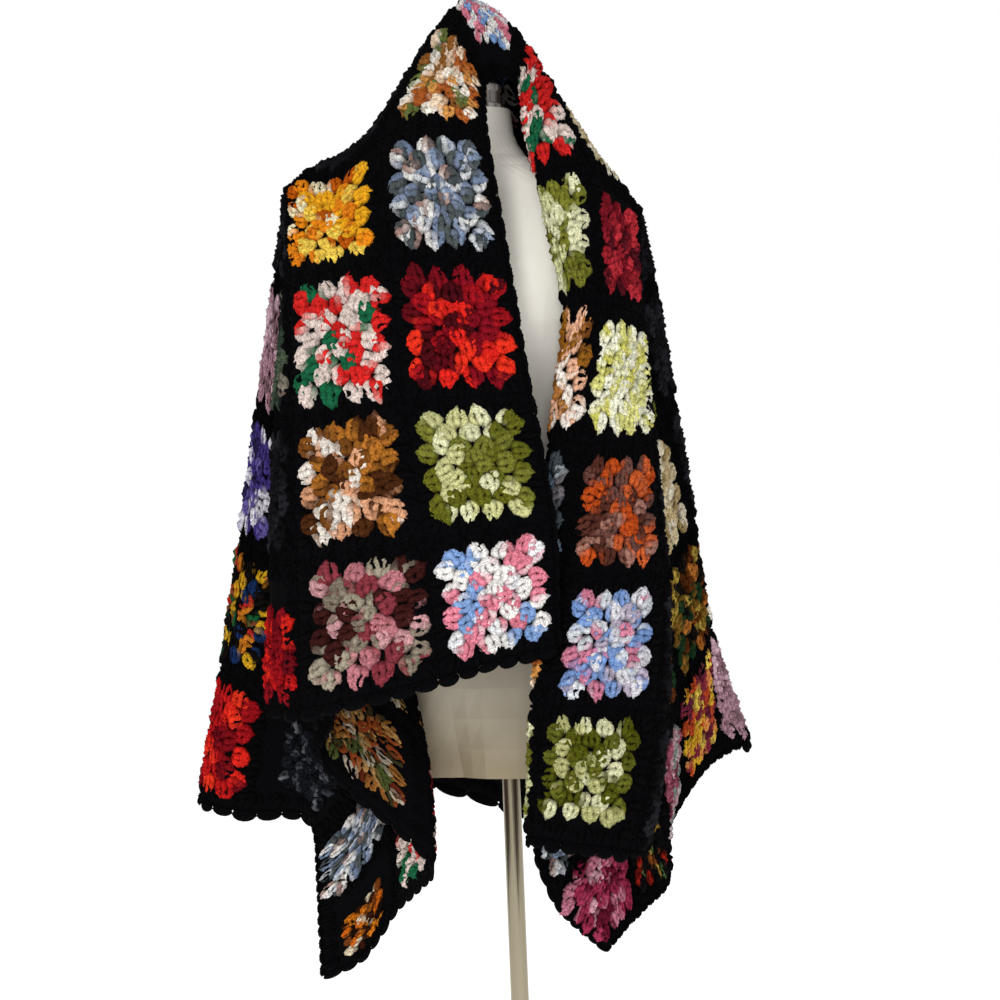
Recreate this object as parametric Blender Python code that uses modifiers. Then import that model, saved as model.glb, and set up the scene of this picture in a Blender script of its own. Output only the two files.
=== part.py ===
"""A granny square blanket draped like a hooded shawl over a torso form on a pole stand. Metres, +Z up, the front towards -Y."""

import math

import bmesh
import bpy
import numpy as np
from mathutils import Vector
from mathutils.bvhtree import BVHTree

# The blanket, in squares: ALONG runs down the front edges and over the head, ACROSS goes from there round to the back.
ALONG = 12
ACROSS = 7
CELLS_PER_SQUARE = 5
CLOTH_THICK = 0.004

# Stand and torso form, heights above the floor
BASE_RADIUS = 0.165
BASE_THICK = 0.010
COLLAR_RADIUS = 0.022
COLLAR_HEIGHT = 0.040
BASE_PROFILE = (
    # radius  height
    (BASE_RADIUS - 0.002, 0.0),
    (BASE_RADIUS, 0.002),
    (BASE_RADIUS, BASE_THICK - 0.002),
    (BASE_RADIUS - 0.003, BASE_THICK),
    (COLLAR_RADIUS + 0.006, BASE_THICK + 0.006),
    (COLLAR_RADIUS, BASE_THICK + 0.012),
    (COLLAR_RADIUS, COLLAR_HEIGHT - 0.002),
    (COLLAR_RADIUS - 0.002, COLLAR_HEIGHT),
)
POLE_RADIUS = 0.0095
TORSO_FOOT = 0.668
TORSO_TURN = math.radians(-26)
TORSO_SIDES = 48
TORSO_RINGS = 30
TORSO_CLEAR = 0.009
PIECE_GAP = 0.0003

# Torso sections from the foot up: height above TORSO_FOOT, half width, half depth, how far forward of the pole
TORSO_SECTIONS = (
    # height  width  depth  forward
    (0.000, 0.138, 0.088, 0.008),
    (0.040, 0.146, 0.094, 0.008),
    (0.100, 0.149, 0.096, 0.006),
    (0.170, 0.143, 0.091, 0.002),
    (0.240, 0.127, 0.083, 0.000),
    (0.300, 0.116, 0.077, 0.000),
    (0.355, 0.119, 0.081, 0.004),
    (0.410, 0.129, 0.093, 0.010),
    (0.460, 0.139, 0.103, 0.014),
    (0.510, 0.147, 0.099, 0.010),
    (0.555, 0.152, 0.085, 0.004),
    (0.585, 0.149, 0.073, 0.002),
    (0.604, 0.132, 0.063, 0.004),
    (0.618, 0.104, 0.057, 0.008),
    (0.630, 0.076, 0.052, 0.014),
    (0.642, 0.056, 0.048, 0.020),
    (0.658, 0.046, 0.045, 0.027),
    (0.694, 0.042, 0.042, 0.034),
)
CREASE_DEEP = 0.17  # of the radius, at the foot
CREASE_ANGLE = math.radians(8)
CREASE_WIDE = math.radians(11)
CREASE_TOP = 0.120

# Turned cap on the neck, and the knob that holds the blanket up
CAP_PROFILE = (
    # radius  height above the neck
    (0.0345, 0.0000),
    (0.0360, 0.0015),
    (0.0360, 0.0045),
    (0.0320, 0.0070),
    (0.0320, 0.0180),
    (0.0340, 0.0205),
    (0.0340, 0.0250),
    (0.0325, 0.0265),
)
STEM_RADIUS = 0.006
KNOB_RADIUS = 0.023

# The front band of the blanket, two squares wide, which runs up the left front edge, over the head and down the right.
# A row for each seam across it, from the left hem (0) to the right hem (12). The front edge and the first seam are points,
# and so is the crease between them, which lies at that share of the first square. On the right it is where the edge turns under.
# The last two say how far the middle of the second square sags, and how far it bulges forward.
FRONT_BAND = (
    # seam  edge                     crease                           first seam                sag    bulge
    (0.0, (0.052, -0.208, 0.807), 0.5, (-0.008, -0.208, 0.797), (-0.066, -0.202, 0.779), 0.0, 0.010),
    (1.0, (0.053, -0.202, 0.930), 0.5, (-0.014, -0.200, 0.923), (-0.076, -0.192, 0.917), 0.0, 0.010),
    (2.0, (0.034, -0.180, 1.058), 0.5, (-0.032, -0.182, 1.056), (-0.092, -0.174, 1.054), 0.0, 0.012),
    (3.0, (0.017, -0.156, 1.193), 0.5, (-0.046, -0.162, 1.196), (-0.101, -0.148, 1.202), 0.0, 0.014),
    (4.0, (0.000, -0.112, 1.332), 0.5, (-0.050, -0.100, 1.345), (-0.114, -0.020, 1.344), 0.038, 0.0),
    (5.0, (0.001, -0.100, 1.384), 0.5, (-0.019, -0.072, 1.435), (-0.039, -0.012, 1.478), 0.0, 0.0),
    (5.5, (0.014, -0.094, 1.388), 0.5, (0.003, -0.062, 1.458), (-0.012, -0.014, 1.500), 0.0, 0.0),
    (6.0, (0.024, -0.100, 1.392), 0.5, (0.046, -0.084, 1.404), (0.048, -0.014, 1.446), 0.0, 0.0),
    (6.25, (0.048, -0.056, 1.368), 0.5, (0.040, -0.102, 1.379), (0.064, -0.033, 1.410), 0.002, 0.0),
    (6.5, (0.072, -0.064, 1.334), 0.48, (0.028, -0.118, 1.346), (0.080, -0.052, 1.374), 0.004, 0.0),
    (7.0, (0.084, -0.092, 1.262), 0.45, (0.036, -0.134, 1.285), (0.110, -0.102, 1.298), 0.008, 0.0),
    (8.0, (0.112, -0.126, 1.144), 0.5, (0.066, -0.156, 1.143), (0.108, -0.160, 1.149), 0.0, 0.018),
    (9.0, (0.106, -0.132, 1.006), 0.58, (0.036, -0.158, 1.005), (0.084, -0.166, 1.007), 0.0, 0.018),
    (10.0, (0.110, -0.158, 0.876), 0.70, (0.026, -0.178, 0.874), (0.062, -0.192, 0.876), 0.0, 0.016),
    (11.0, (0.106, -0.178, 0.749), 0.80, (0.008, -0.198, 0.748), (0.034, -0.212, 0.750), 0.0, 0.014),
    (12.0, (0.092, -0.202, 0.622), 0.86, (0.004, -0.210, 0.622), (0.012, -0.226, 0.622), 0.0, 0.012),
)

# The second seam where it crosses the shoulders behind the neck, from the left shoulder tip to the right one, and how much
# cloth the top of the shoulder takes up there
SHOULDER_SEAM = (
    # seam  point                  take_up
    (4.0, (-0.217, 0.020, 1.316), 0.036),
    (5.0, (-0.085, 0.094, 1.345), 0.024),
    (5.5, (-0.015, 0.100, 1.352), 0.018),
    (6.0, (0.050, 0.092, 1.338), 0.012),
    (7.0, (0.160, -0.030, 1.270), 0.0),
)
LEFT_TIP = 4
RIGHT_TIP = 7

# Below each shoulder tip the cloth hangs in a cone of folds. A row for each fold line, from the front panel round to the back:
# its angle in the flat cloth, where its ray leans for each metre that it falls, how far it bows to the right on the way,
# the length of a square along it, and how much cloth the shoulder takes up at its top.
LEFT_FOLDS = (
    # name            angle  right   back    bow    square take_up
    ("front_seam", 0.0, 0.004, -0.250, 0.000, 0.156, 0.036),
    ("front_fold", 7.0, -0.080, -0.160, 0.000, 0.151, 0.036),
    ("inner_right", 16.0, 0.080, -0.225, 0.000, 0.148, 0.036),
    ("inner_left", 27.0, 0.018, -0.100, 0.000, 0.147, 0.036),
    ("tail_right", 37.5, 0.198, -0.190, 0.020, 0.157, 0.036),
    ("tail_middle", 45.0, 0.118, -0.012, 0.010, 0.146, 0.036),
    ("tail_tip", 49.3, 0.060, 0.030, 0.004, 0.1450, 0.036),
    ("tail_left", 51.3, 0.006, 0.065, 0.000, 0.142, 0.036),
    ("tail_behind", 58.0, -0.005, 0.130, 0.000, 0.140, 0.036),
    ("side_low", 72.0, -0.112, 0.135, 0.000, 0.1455, 0.036),
    ("side_fold", 84.0, -0.202, 0.140, 0.006, 0.145, 0.036),
    ("back_seam", 90.0, -0.110, 0.190, 0.000, 0.142, 0.036),
)
RIGHT_FOLDS = (
    ("front_seam", 0.0, -0.068, -0.335, 0.030, 0.140, 0.000),
    ("front_fold", 5.0, -0.032, -0.260, 0.026, 0.139, 0.000),
    ("inner_left", 14.0, -0.142, -0.236, 0.000, 0.120, 0.000),
    ("inner_right", 23.0, -0.050, -0.180, 0.000, 0.123, 0.010),
    ("tail_left", 34.0, -0.222, -0.208, 0.000, 0.119, 0.030),
    ("tail_low", 39.0, -0.165, -0.175, 0.000, 0.121, 0.030),
    ("tail_corner", 45.0, -0.092, -0.130, 0.000, 0.117, 0.040),
    ("tail_right", 57.0, 0.000, -0.080, 0.000, 0.129, 0.050),
    ("tail_behind", 63.0, -0.006, 0.000, 0.020, 0.129, 0.050),
    ("side_ridge", 73.0, 0.070, 0.040, 0.026, 0.1265, 0.050),
    ("side_valley", 79.0, 0.112, 0.080, -0.008, 0.1265, 0.045),
    ("side_fold", 85.0, 0.178, 0.118, -0.020, 0.123, 0.020),
    ("back_seam", 90.0, 0.128, 0.170, -0.016, 0.119, 0.000),
)

# The back hangs from the shoulder seam. A row for each seam down it, with the same leans and square length.
BACK_FALLS = (
    # seam  right   back    bow    square
    (4.0, -0.110, 0.190, 0.000, 0.142),
    (4.5, -0.090, 0.110, 0.000, 0.144),
    (5.0, -0.050, 0.140, 0.000, 0.145),
    (5.5, 0.000, 0.080, 0.000, 0.150),
    (5.75, 0.020, 0.105, 0.000, 0.156),
    (6.0, 0.040, 0.130, 0.000, 0.149),
    (6.5, 0.085, 0.100, -0.006, 0.128),
    (7.0, 0.128, 0.170, -0.016, 0.119),
)

# The folds are rounded on a finer net than the one that is built
SMOOTHING_PASSES = 4
FINE_CELLS = 10


def rgb(hex_code):
    """A linear colour from a hex code."""
    parts = [int(hex_code[i : i + 2], 16) / 255 for i in (0, 2, 4)]
    return [p / 12.92 if p <= 0.04045 else ((p + 0.055) / 1.055) ** 2.4 for p in parts]


def material(name, colour, roughness, metallic=0.0):
    made = bpy.data.materials.new(name)
    made.use_nodes = True
    shader = made.node_tree.nodes["Principled BSDF"]
    shader.inputs["Base Color"].default_value = (*colour, 1.0)
    shader.inputs["Roughness"].default_value = roughness
    shader.inputs["Metallic"].default_value = metallic
    return made


def between(rows, at):
    """The row's values at a place between rows, where each row starts with its own place."""
    rows = np.array(rows, float)
    return np.array([np.interp(at, rows[:, 0], rows[:, i]) for i in range(1, rows.shape[1])])


def torso_section(heights):
    """Half width, half depth and forward shift of the torso at each height above its foot, eased between the rows."""
    rows = np.array(TORSO_SECTIONS)
    heights = np.clip(heights, rows[0, 0], rows[-1, 0])
    at = np.clip(np.searchsorted(rows[:, 0], heights, side="right") - 1, 0, len(rows) - 2)
    slopes = np.gradient(rows[:, 1:], rows[:, 0], axis=0)
    step = (rows[at + 1, 0] - rows[at, 0])[:, None]
    t = (heights - rows[at, 0])[:, None] / step
    low, high = rows[at, 1:], rows[at + 1, 1:]
    eased = low * (1 + 2 * t) * (1 - t) ** 2 + high * t**2 * (3 - 2 * t)
    return (eased + step * (slopes[at] * t * (1 - t) ** 2 - slopes[at + 1] * t**2 * (1 - t))).T


TORSO_RIGHT = np.array([math.cos(TORSO_TURN), math.sin(TORSO_TURN)])
TORSO_FRONT = np.array([math.sin(TORSO_TURN), -math.cos(TORSO_TURN)])


def clear_of_torso(points):
    """The points, with any that the torso would come too close to moved straight out from its middle."""
    heights = points[..., 2].ravel() - TORSO_FOOT
    width, depth, forward = torso_section(heights)
    middle = forward[:, None] * TORSO_FRONT
    flat = points[..., :2].reshape(-1, 2) - middle
    reach = np.hypot(flat @ TORSO_RIGHT / (width + TORSO_CLEAR), flat @ TORSO_FRONT / (depth + TORSO_CLEAR))
    inside = (reach < 1) & (heights > -0.02) & (heights < TORSO_SECTIONS[-1][0] + 0.004)
    flat[inside] /= reach[inside, None]
    moved = points.copy()
    moved[..., :2] = (flat + middle).reshape(points[..., :2].shape)
    return moved


def band_sections():
    """The front band's rows, each as one list of numbers."""
    return [(seam, *edge, share, *crease, *first, sag, bulge) for seam, edge, share, crease, first, sag, bulge in FRONT_BAND]


def shoulder(along):
    """A point of the shoulder seam, and the cloth taken up there."""
    *point, take_up = between([(seam, *point, take_up) for seam, point, take_up in SHOULDER_SEAM], along)
    return np.array(point), take_up


def hang(top, reach, limit, lean_right, lean_back, bow, square, take_up):
    """A point on a ray that leans this much for each metre that it falls, this many squares below its top."""
    fall = np.array([lean_right, lean_back, -1.0])
    share = reach / limit
    point = top + (reach * square - take_up * min(reach, 1.0)) * fall / np.linalg.norm(fall)
    point[0] += bow * 6.75 * share**2 * (1 - share)
    return point


def cone_point(tip, folds, ahead_limit, ahead, behind, columns_from):
    """A point of the cone of folds below a shoulder tip, from its squares ahead of the tip and behind it. Where it is
    columns_from squares ahead, it starts to hang in columns instead, each with the fold that it has at the hem."""
    reach = math.hypot(ahead, behind)
    angle = math.atan2(behind, ahead)
    limit = min(ahead_limit / max(math.cos(angle), 1e-6), (ACROSS - 2) / max(math.sin(angle), 1e-6))
    column = min(max((ahead - columns_from) / 1.3, 0.0), 1.0)
    angle += (math.atan2(behind, ahead_limit) - angle) * column**2 * (3 - 2 * column)
    return hang(tip, reach, limit, *between([row[1:] for row in folds], math.degrees(angle)))


def rear_point(along, across):
    """A point behind the second seam: in the left cone of folds, in the back, or in the right cone."""
    if along < LEFT_TIP:
        return cone_point(shoulder(LEFT_TIP)[0], LEFT_FOLDS, LEFT_TIP, LEFT_TIP - along, across - 2, 0.7)
    if along > RIGHT_TIP:
        return cone_point(shoulder(RIGHT_TIP)[0], RIGHT_FOLDS, ALONG - RIGHT_TIP, along - RIGHT_TIP, across - 2, ALONG)
    top, take_up = shoulder(along)
    return hang(top, across - 2, ACROSS - 2, *between(BACK_FALLS, along), take_up)


def band_point(along, across):
    section = between(band_sections(), along)
    edge, share, crease, first, sag, bulge = section[:3], section[3], section[4:7], section[7:10], section[10], section[11]
    second = rear_point(along, 2)
    middle = (first + second) / 2 - np.array([0, bulge, sag])
    points = np.array([edge, crease, first, middle, second])
    return np.array([np.interp(across, [0.0, share, 1.0, 1.5, 2.0], points[:, i]) for i in range(3)])


def blanket_point(along, across):
    """Where a point of the flat blanket, in squares, hangs, before the folds are rounded."""
    return band_point(along, across) if across <= 2 else rear_point(along, across)


def rounded(grid, passes):
    """The grid with its folds rounded: each pass moves a point halfway to the mean of its neighbours."""
    for _ in range(passes):
        inner = grid.copy()
        inner[1:-1] += 0.25 * (grid[:-2] - 2 * grid[1:-1] + grid[2:])
        inner[:, 1:-1] += 0.25 * (grid[:, :-2] - 2 * grid[:, 1:-1] + grid[:, 2:])
        grid = inner
    return grid


def blanket_grid():
    """The middle surface of the blanket: an array of points, along by across."""
    alongs = np.linspace(0, ALONG, ALONG * FINE_CELLS + 1)
    acrosses = np.linspace(0, ACROSS, ACROSS * FINE_CELLS + 1)
    grid = np.array([[blanket_point(a, b) for b in acrosses] for a in alongs])
    step = FINE_CELLS // CELLS_PER_SQUARE
    grid = clear_of_torso(rounded(grid, SMOOTHING_PASSES))
    return clear_of_torso(rounded(grid, 1))[::step, ::step]


# ---- build ----
def finish(made, made_of, smooth_angle=40):
    """Shading, material and collection for a finished object."""
    mesh = made.data
    mesh.shade_smooth()
    mesh.set_sharp_from_angle(angle=math.radians(smooth_angle))
    mesh.materials.append(made_of)
    bpy.data.collections["granny_square_blanket"].objects.link(made)
    return made


def turned(name, profile, sides, made_of, centre=(0.0, 0.0)):
    """A solid turned about the vertical line over centre. The profile is radius and height, from the bottom up."""
    shape = bmesh.new()
    line = [(0.0, profile[-1][1])] + list(reversed(profile)) + [(0.0, profile[0][1])]
    points = [shape.verts.new((radius, 0.0, height)) for radius, height in line]
    for here, there in zip(points, points[1:]):
        shape.edges.new((here, there))
    mesh = bpy.data.meshes.new(name)
    shape.to_mesh(mesh)
    shape.free()
    made = bpy.data.objects.new(name, mesh)
    made.location = (centre[0], centre[1], 0.0)
    screw = made.modifiers.new("turn", "SCREW")
    screw.steps = screw.render_steps = sides
    screw.use_merge_vertices = True
    screw.merge_threshold = 0.00001
    screw.use_smooth_shade = True
    return finish(made, made_of)


def pole(made_of):
    """The round tube between the collar of the base and the foot of the torso."""
    low, high = COLLAR_HEIGHT + PIECE_GAP, TORSO_FOOT - PIECE_GAP
    shape = bmesh.new()
    bmesh.ops.create_cone(shape, cap_ends=True, segments=32, radius1=POLE_RADIUS, radius2=POLE_RADIUS, depth=high - low)
    mesh = bpy.data.meshes.new("stand_pole")
    shape.to_mesh(mesh)
    shape.free()
    made = bpy.data.objects.new("stand_pole", mesh)
    made.location = (0.0, 0.0, (low + high) / 2)
    return finish(made, made_of)


def torso(made_of):
    """The torso lofted through its sections, with the crease between the thighs at the front of the foot."""
    top = TORSO_SECTIONS[-1][0]
    heights = np.concatenate([np.linspace(0, 0.56, TORSO_RINGS - 12, endpoint=False), np.linspace(0.56, top, 12)])
    width, depth, forward = torso_section(heights)
    shape = bmesh.new()
    rings = []
    for ring, height in enumerate(heights):
        fade = max(0.0, 1 - height / CREASE_TOP)
        points = []
        for k in range(TORSO_SIDES):
            turn = 2 * math.pi * k / TORSO_SIDES
            off_crease = math.remainder(turn - math.pi / 2 - CREASE_ANGLE, 2 * math.pi)
            scale = 1 - CREASE_DEEP * fade * math.exp(-((off_crease / CREASE_WIDE) ** 2))
            flat = TORSO_RIGHT * width[ring] * math.cos(turn) * scale
            flat = flat + TORSO_FRONT * (forward[ring] + depth[ring] * math.sin(turn) * scale)
            points.append(shape.verts.new((flat[0], flat[1], TORSO_FOOT + height)))
        rings.append([shape.edges.new((points[k], points[(k + 1) % TORSO_SIDES])) for k in range(TORSO_SIDES)])
    for low, high in zip(rings, rings[1:]):
        bmesh.ops.bridge_loops(shape, edges=low + high)
    bmesh.ops.contextual_create(shape, geom=rings[0])
    bmesh.ops.contextual_create(shape, geom=rings[-1])
    bmesh.ops.recalc_face_normals(shape, faces=shape.faces)
    mesh = bpy.data.meshes.new("torso_form")
    shape.to_mesh(mesh)
    shape.free()
    return finish(bpy.data.objects.new("torso_form", mesh), made_of)


def blanket(made_of):
    """The cloth: a flat grid, a few cells to each square, hung on its folds and given its thickness both ways."""
    hung = blanket_grid()
    rows, columns = hung.shape[:2]
    shape = bmesh.new()
    bmesh.ops.create_grid(shape, x_segments=rows - 1, y_segments=columns - 1, size=1.0)
    for vertex in shape.verts:
        i = round((vertex.co.x + 1) / 2 * (rows - 1))
        j = round((vertex.co.y + 1) / 2 * (columns - 1))
        vertex.co = Vector(hung[i, j])
    mesh = bpy.data.meshes.new("granny_blanket")
    shape.to_mesh(mesh)
    shape.free()
    made = bpy.data.objects.new("granny_blanket", mesh)
    thick = made.modifiers.new("thickness", "SOLIDIFY")
    thick.thickness = CLOTH_THICK
    thick.offset = 0.0
    return finish(made, made_of, smooth_angle=80)


def highest_ball(cloth, centre, radius, low, high):
    """How high a ball's middle can go on a vertical line until the cloth is PIECE_GAP from it."""
    bpy.context.view_layer.update()
    tree = BVHTree.FromObject(cloth, bpy.context.evaluated_depsgraph_get())
    for _ in range(40):
        middle = (low + high) / 2
        distance = tree.find_nearest(Vector((centre[0], centre[1], middle)))[3]
        if distance > radius + PIECE_GAP:
            low = middle
        else:
            high = middle
    return low


def main():
    for old in list(bpy.data.objects):
        bpy.data.objects.remove(old, do_unlink=True)
    collection = bpy.data.collections.new("granny_square_blanket")
    bpy.context.scene.collection.children.link(collection)

    wool = material("blanket_wool", rgb("1A1A1D"), 0.92)
    shell = material("torso_shell", rgb("CDC6B8"), 0.55)
    cap_chrome = material("cap_chrome", rgb("C9C8C6"), 0.18, 1.0)
    pole_nickel = material("pole_nickel", rgb("A9A49A"), 0.34, 1.0)
    base_steel = material("base_steel", rgb("9C9890"), 0.38, 1.0)

    turned("stand_base", BASE_PROFILE, 64, base_steel)
    pole(pole_nickel)
    torso(shell)

    neck_top = TORSO_FOOT + TORSO_SECTIONS[-1][0]
    neck_middle = tuple(TORSO_FRONT * TORSO_SECTIONS[-1][3])
    cap_foot = neck_top + PIECE_GAP
    turned("neck_cap", [(radius, cap_foot + height) for radius, height in CAP_PROFILE], 48, cap_chrome, neck_middle)

    cloth = blanket(wool)
    cap_top = cap_foot + CAP_PROFILE[-1][1]
    knob_middle = highest_ball(cloth, neck_middle, KNOB_RADIUS, cap_top + KNOB_RADIUS, cap_top + 0.08)
    stem_foot = cap_top + PIECE_GAP
    stem = [(2 * STEM_RADIUS, stem_foot), (2 * STEM_RADIUS, stem_foot + 0.004), (STEM_RADIUS, stem_foot + 0.008)]
    start = math.asin(STEM_RADIUS / KNOB_RADIUS)
    arc = [start + (math.pi - start) * k / 12 for k in range(12)]
    ball = [(KNOB_RADIUS * math.sin(t), knob_middle - KNOB_RADIUS * math.cos(t)) for t in arc]
    crown = [(KNOB_RADIUS * math.sin(0.05), knob_middle + KNOB_RADIUS * math.cos(0.05))]
    turned("neck_finial", stem + ball + crown, 32, cap_chrome, neck_middle)


main()
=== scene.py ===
"""The looks of a granny square blanket draped like a hooded shawl over a torso form on a pole stand.

The cloth is the same folded surface as in the solids, with its crochet on it: clusters of three trebles in rounds,
black joins and a shell edge."""

import math
import random

import bmesh
import bpy
import numpy as np
from mathutils import Matrix, Vector


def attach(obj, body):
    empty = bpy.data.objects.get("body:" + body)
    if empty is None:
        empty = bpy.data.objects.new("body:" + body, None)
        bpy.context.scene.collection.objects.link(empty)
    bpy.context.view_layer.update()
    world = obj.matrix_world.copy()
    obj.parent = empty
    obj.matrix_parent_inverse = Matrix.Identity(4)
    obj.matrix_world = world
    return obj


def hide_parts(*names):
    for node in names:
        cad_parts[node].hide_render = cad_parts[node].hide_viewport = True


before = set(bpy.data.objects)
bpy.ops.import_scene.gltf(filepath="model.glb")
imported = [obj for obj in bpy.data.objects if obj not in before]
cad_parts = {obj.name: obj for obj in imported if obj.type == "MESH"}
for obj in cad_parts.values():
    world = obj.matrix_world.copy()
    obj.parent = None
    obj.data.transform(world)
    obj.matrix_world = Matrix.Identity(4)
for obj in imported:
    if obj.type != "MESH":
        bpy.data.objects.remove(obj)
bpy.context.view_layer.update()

# ---- the cloth's shape, as in the solids ----
ALONG = 12
ACROSS = 7
SQUARE_MM = 135.0
TORSO_FOOT = 0.668
TORSO_TURN = math.radians(-26)
TORSO_CLEAR = 0.009

# Torso sections from the foot up: height above TORSO_FOOT, half width, half depth, how far forward of the pole
TORSO_SECTIONS = (
    # height  width  depth  forward
    (0.000, 0.138, 0.088, 0.008),
    (0.040, 0.146, 0.094, 0.008),
    (0.100, 0.149, 0.096, 0.006),
    (0.170, 0.143, 0.091, 0.002),
    (0.240, 0.127, 0.083, 0.000),
    (0.300, 0.116, 0.077, 0.000),
    (0.355, 0.119, 0.081, 0.004),
    (0.410, 0.129, 0.093, 0.010),
    (0.460, 0.139, 0.103, 0.014),
    (0.510, 0.147, 0.099, 0.010),
    (0.555, 0.152, 0.085, 0.004),
    (0.585, 0.149, 0.073, 0.002),
    (0.604, 0.132, 0.063, 0.004),
    (0.618, 0.104, 0.057, 0.008),
    (0.630, 0.076, 0.052, 0.014),
    (0.642, 0.056, 0.048, 0.020),
    (0.658, 0.046, 0.045, 0.027),
    (0.694, 0.042, 0.042, 0.034),
)

# The front band of the blanket, two squares wide, which runs up the left front edge, over the head and down the right.
# A row for each seam across it, from the left hem (0) to the right hem (12). The front edge and the first seam are
# points, and so is the crease between them, which lies at that share of the first square. On the right it is where the
# edge turns under. The last two say how far the middle of the second square sags, and how far it bulges forward.
FRONT_BAND = (
    # seam  edge                     crease                           first seam                sag    bulge
    (0.0, (0.052, -0.208, 0.807), 0.5, (-0.008, -0.208, 0.797), (-0.066, -0.202, 0.779), 0.0, 0.010),
    (1.0, (0.053, -0.202, 0.930), 0.5, (-0.014, -0.200, 0.923), (-0.076, -0.192, 0.917), 0.0, 0.010),
    (2.0, (0.034, -0.180, 1.058), 0.5, (-0.032, -0.182, 1.056), (-0.092, -0.174, 1.054), 0.0, 0.012),
    (3.0, (0.017, -0.156, 1.193), 0.5, (-0.046, -0.162, 1.196), (-0.101, -0.148, 1.202), 0.0, 0.014),
    (4.0, (0.000, -0.112, 1.332), 0.5, (-0.050, -0.100, 1.345), (-0.114, -0.020, 1.344), 0.038, 0.0),
    (5.0, (0.001, -0.100, 1.384), 0.5, (-0.019, -0.072, 1.435), (-0.039, -0.012, 1.478), 0.0, 0.0),
    (5.5, (0.014, -0.094, 1.388), 0.5, (0.003, -0.062, 1.458), (-0.012, -0.014, 1.500), 0.0, 0.0),
    (6.0, (0.024, -0.100, 1.392), 0.5, (0.046, -0.084, 1.404), (0.048, -0.014, 1.446), 0.0, 0.0),
    (6.25, (0.048, -0.056, 1.368), 0.5, (0.040, -0.102, 1.379), (0.064, -0.033, 1.410), 0.002, 0.0),
    (6.5, (0.072, -0.064, 1.334), 0.48, (0.028, -0.118, 1.346), (0.080, -0.052, 1.374), 0.004, 0.0),
    (7.0, (0.084, -0.092, 1.262), 0.45, (0.036, -0.134, 1.285), (0.110, -0.102, 1.298), 0.008, 0.0),
    (8.0, (0.112, -0.126, 1.144), 0.5, (0.066, -0.156, 1.143), (0.108, -0.160, 1.149), 0.0, 0.018),
    (9.0, (0.106, -0.132, 1.006), 0.58, (0.036, -0.158, 1.005), (0.084, -0.166, 1.007), 0.0, 0.018),
    (10.0, (0.110, -0.158, 0.876), 0.70, (0.026, -0.178, 0.874), (0.062, -0.192, 0.876), 0.0, 0.016),
    (11.0, (0.106, -0.178, 0.749), 0.80, (0.008, -0.198, 0.748), (0.034, -0.212, 0.750), 0.0, 0.014),
    (12.0, (0.092, -0.202, 0.622), 0.86, (0.004, -0.210, 0.622), (0.012, -0.226, 0.622), 0.0, 0.012),
)

# The second seam where it crosses the shoulders behind the neck, from the left shoulder tip to the right one, and how
# much cloth the top of the shoulder takes up there
SHOULDER_SEAM = (
    # seam  point                  take_up
    (4.0, (-0.217, 0.020, 1.316), 0.036),
    (5.0, (-0.085, 0.094, 1.345), 0.024),
    (5.5, (-0.015, 0.100, 1.352), 0.018),
    (6.0, (0.050, 0.092, 1.338), 0.012),
    (7.0, (0.160, -0.030, 1.270), 0.0),
)
LEFT_TIP = 4
RIGHT_TIP = 7

# Below each shoulder tip the cloth hangs in a cone of folds. A row for each fold line, from the front panel round to
# the back: its angle in the flat cloth, where its ray leans for each metre that it falls, how far it bows to the right
# on the way, the length of a square along it, and how much cloth the shoulder takes up at its top.
LEFT_FOLDS = (
    # name            angle  right   back    bow    square take_up
    ("front_seam", 0.0, 0.004, -0.250, 0.000, 0.156, 0.036),
    ("front_fold", 7.0, -0.080, -0.160, 0.000, 0.151, 0.036),
    ("inner_right", 16.0, 0.080, -0.225, 0.000, 0.148, 0.036),
    ("inner_left", 27.0, 0.018, -0.100, 0.000, 0.147, 0.036),
    ("tail_right", 37.5, 0.198, -0.190, 0.020, 0.157, 0.036),
    ("tail_middle", 45.0, 0.118, -0.012, 0.010, 0.146, 0.036),
    ("tail_tip", 49.3, 0.060, 0.030, 0.004, 0.1450, 0.036),
    ("tail_left", 51.3, 0.006, 0.065, 0.000, 0.142, 0.036),
    ("tail_behind", 58.0, -0.005, 0.130, 0.000, 0.140, 0.036),
    ("side_low", 72.0, -0.112, 0.135, 0.000, 0.1455, 0.036),
    ("side_fold", 84.0, -0.202, 0.140, 0.006, 0.145, 0.036),
    ("back_seam", 90.0, -0.110, 0.190, 0.000, 0.142, 0.036),
)
RIGHT_FOLDS = (
    ("front_seam", 0.0, -0.068, -0.335, 0.030, 0.140, 0.000),
    ("front_fold", 5.0, -0.032, -0.260, 0.026, 0.139, 0.000),
    ("inner_left", 14.0, -0.142, -0.236, 0.000, 0.120, 0.000),
    ("inner_right", 23.0, -0.050, -0.180, 0.000, 0.123, 0.010),
    ("tail_left", 34.0, -0.222, -0.208, 0.000, 0.119, 0.030),
    ("tail_low", 39.0, -0.165, -0.175, 0.000, 0.121, 0.030),
    ("tail_corner", 45.0, -0.092, -0.130, 0.000, 0.117, 0.040),
    ("tail_right", 57.0, 0.000, -0.080, 0.000, 0.129, 0.050),
    ("tail_behind", 63.0, -0.006, 0.000, 0.020, 0.129, 0.050),
    ("side_ridge", 73.0, 0.070, 0.040, 0.026, 0.1265, 0.050),
    ("side_valley", 79.0, 0.112, 0.080, -0.008, 0.1265, 0.045),
    ("side_fold", 85.0, 0.178, 0.118, -0.020, 0.123, 0.020),
    ("back_seam", 90.0, 0.128, 0.170, -0.016, 0.119, 0.000),
)

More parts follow.
